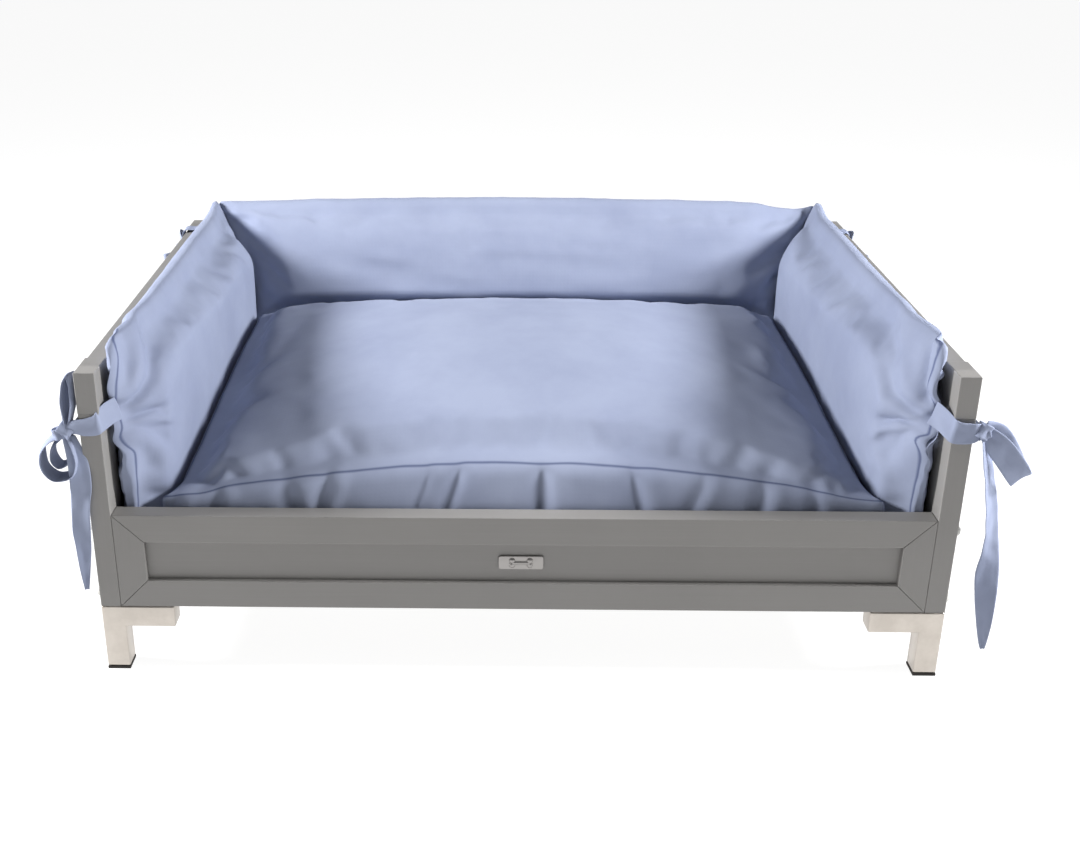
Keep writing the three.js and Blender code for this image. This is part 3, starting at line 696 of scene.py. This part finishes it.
def rear_straps(drop):
    """The rear tie of the right-hand bolster: round the rail, two loops, a knot, and a tail down to drop."""
    bow = [
        ((465, 255, 327), UP, 5), ((470, 272, 331), (0.1, 0, 1), 10), ((475, 292, 330), (0.1, 0, 1), 12),
        ((476, 305, 327), UP, 12), ((469, 303, 325), UP, 12), ((464, 288, 324), UP, 11.5),
        ((463, 270, 324), UP, 10), ((464, 256, 325), UP, 5)]
    other = [((x, 500 - y, 649 - z), way, half) for (x, y, z), way, half in bow]
    tail = [
        ((466, 248, 320), (0, 0.95, 0.3), 6), ((465, 247, 292), IN_DEPTH, 10),
        ((463, 250, mix(292, drop, 0.35)), (0.15, 1, 0), 10.5),
        ((464, 253, mix(292, drop, 0.65)), (0.3, 1, 0), 12),
        ((464, 256, mix(292, drop, 0.88)), (0.1, 1, 0), 8), ((464, 257, drop), IN_DEPTH, 2.5)]
    knot = turns((466, 250, 326), (0, 0.3, 1), 6.5, 7, 0, 330)
    return [ABOUT_RAIL, bow, other, tail, knot]


def mirrored(stations):
    """The same strap on the left-hand side."""
    return [((-x, y, z), (-way[0], way[1], way[2]), half) for (x, y, z), way, half in stations]


TIES = {
    "front_right": [RIGHT_BAND, ABOUT_POST, RIGHT_LOOP, RIGHT_TAIL,
                    turns((467, -306, 293), (0.5, 0.2, 1), 6.5, 8, 30, 340),
                    turns((468, -306, 290), (1, 0, 0.3), 5.5, 6, 0, 300)],
    "front_left": [LEFT_BAND, mirrored(ABOUT_POST), LEFT_LOOP, LEFT_RISING_LOOP, LEFT_CURL, LEFT_TAIL,
                   turns((-472, -306, 288), (-0.9, 0.1, 0.6), 7, 8, 0, 340),
                   turns((-479, -306, 285), (-0.3, 0.1, 1), 6, 6, 60, 300)],
    "rear_right": rear_straps(90),
    "rear_left": [mirrored(stations) for stations in rear_straps(70)],
}
for corner, straps in TIES.items():
    mesh = bmesh.new()
    mesh.loops.layers.uv.new("cloth")
    for salt, stations in enumerate(straps):
        strap(mesh, stations, salt * 3.7 + len(corner))
    bmesh.ops.recalc_face_normals(mesh, faces=mesh.faces)
    tie = finished(corner + "_strap", mesh, tie_cotton, "frame")
    finer = tie.modifiers.new("finer", "SUBSURF")
    finer.levels = finer.render_levels = 1
    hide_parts(corner + "_tie")

# ---- badge ----
# A small cast plate pinned to the front infill panel, with a softened edge and a bone in relief. Its satin
# nickel gives blurred reflections, and handling has left it unevenly bright.
BONE_HALF, BONE_LOBE, BONE_BAR, BONE_RISE = 9.5 * MM, 3.3 * MM, 2.2 * MM, 1.8 * MM
PLATE_CORNER, PLATE_EDGE = 2.2 * MM, 0.6 * MM
SATIN_MM, HANDLING_MM = 0.83, 11.1

badge_metal, tree, surface = new_material("satin_nickel")
place = node(tree, "TexCoord").outputs["Object"]
satin = node(tree, "TexNoise", {"Vector": place, "Scale": per_metre(SATIN_MM), "Detail": 3.0})
tone = node(tree, "TexNoise", {"Vector": place, "Scale": per_metre(HANDLING_MM), "Detail": 3.0})
tree.links.new(node(tree, "BsdfPrincipled", {
    "Base Color": linear("#9b9896"), "Metallic": 1.0,
    "Roughness": node(tree, "MapRange", {"Value": tone.outputs["Fac"], "To Min": 0.28,
                                         "To Max": 0.48}).outputs["Result"],
    "Normal": node(tree, "Bump", {"Height": satin.outputs["Fac"], "Strength": 0.15,
                                  "Distance": 0.1 * MM}).outputs["Normal"]}).outputs["BSDF"], surface)

low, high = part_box("front_badge_plate")
middle, face_y = (low + high) / 2, low.y
mesh = bmesh.new()
bmesh.ops.create_cube(mesh, size=1, matrix=Matrix.Translation(middle) @ Matrix.Diagonal((*(high - low), 1)))
bmesh.ops.bevel(mesh, geom=[e for e in mesh.edges if abs(e.verts[0].co.y - e.verts[1].co.y) > 1e-4],
                offset=PLATE_CORNER, segments=5, profile=0.5, affect="EDGES", material=-1)
rim = [e for e in mesh.edges if all(v.co.y < face_y + 1e-5 for v in e.verts)]
bmesh.ops.bevel(mesh, geom=rim, offset=PLATE_EDGE, segments=3, profile=0.5, affect="EDGES", material=-1)
for x in (-1, 1):
    for z in (-1, 1):
        lobe = Matrix.Translation((middle.x + x * BONE_HALF, face_y, middle.z + z * BONE_LOBE * 0.8))
        bmesh.ops.create_uvsphere(mesh, u_segments=24, v_segments=12, radius=1, matrix=lobe @ Matrix.Diagonal(
            (BONE_LOBE, BONE_RISE, BONE_LOBE, 1)))
bar = Matrix.Translation((middle.x, face_y, middle.z)) @ Matrix.Diagonal(
    (BONE_HALF, BONE_RISE * 0.9, BONE_BAR, 1)) @ Matrix.Rotation(math.pi / 2, 4, "Y")
bmesh.ops.create_cone(mesh, segments=24, radius1=1, radius2=1, depth=2, cap_ends=True, matrix=bar)
bmesh.ops.recalc_face_normals(mesh, faces=mesh.faces)
plate = finished("bone_badge", mesh, badge_metal, "frame")
plate.data.set_sharp_from_angle(angle=math.radians(40))
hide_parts("front_badge_plate")

# ---- foam core ----
# A block of open-cell polyurethane foam inside the mattress cover, which hides it. It is cut from a slab, pale
# cream and matt, with fine open pores.
FOAM_CELL_MM = 2

foam, tree, surface = new_material("open_cell_foam")
place = node(tree, "TexCoord").outputs["Object"]
cells = node(tree, "TexVoronoi", {"Vector": place, "Scale": per_metre(FOAM_CELL_MM)})
tree.links.new(node(tree, "BsdfPrincipled", {
    "Base Color": linear("#e6dcc0"), "Roughness": 0.95,
    "Normal": node(tree, "Bump", {"Height": cells.outputs["Distance"], "Strength": 0.5,
                                  "Distance": 0.6 * MM}).outputs["Normal"]}).outputs["BSDF"], surface)
paint("mattress_core", foam)
